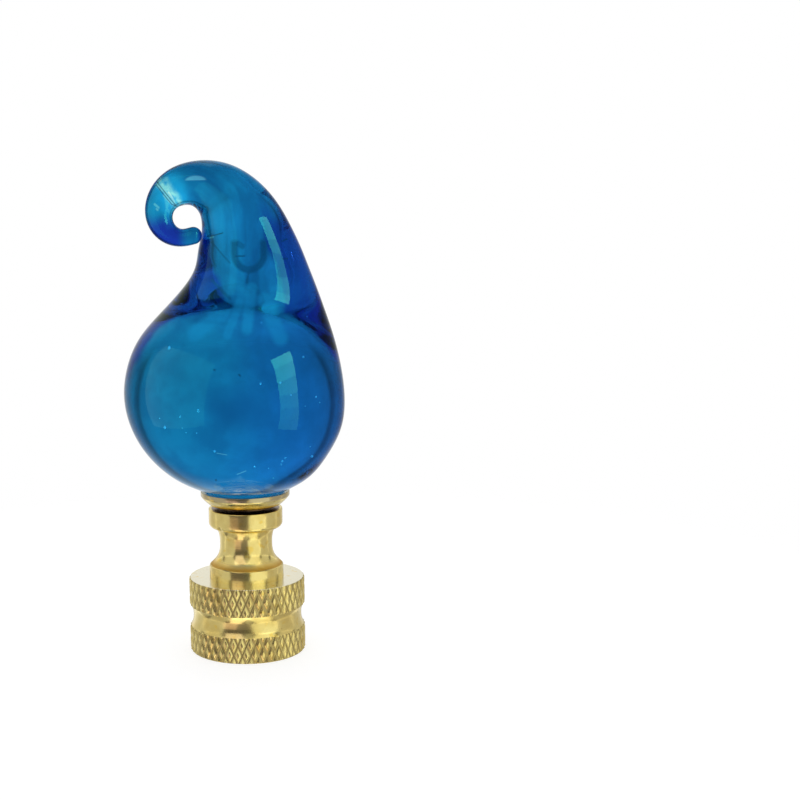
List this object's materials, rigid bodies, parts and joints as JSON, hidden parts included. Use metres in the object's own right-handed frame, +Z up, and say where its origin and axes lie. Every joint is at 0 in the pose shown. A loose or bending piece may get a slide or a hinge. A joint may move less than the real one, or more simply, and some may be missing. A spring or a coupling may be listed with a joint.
{
  "type": "lamp shade finial",
  "caption": "Blue glass lamp shade finial, a round bulb drawn up into a curled tip, seated in a brass cup on a knurled brass base with a threaded socket.",
  "frame": {"origin": "on the axis of the threaded socket, in the plane of the underside that bears on the shade", "axes": "+Z up the axis of the base, from the socket to the glass; -X towards the side that the curl bends to; -Y towards the viewer of the picture"},
  "size_m": [0.0239, 0.0238, 0.0533],
  "materials": {
    "base_brass": "bright turned brass with lathe marks and light tarnish, knurled grip",
    "cup_brass": "bright turned brass with a duller lip",
    "blue_glass": "smooth fire-polished solid blue glass with streaks, seeds and a shear mark"
  },
  "bodies": {
    "root": {"brass_base": "base_brass", "brass_cup": "cup_brass", "glass_ornament": "blue_glass"}
  },
  "joints": []
}
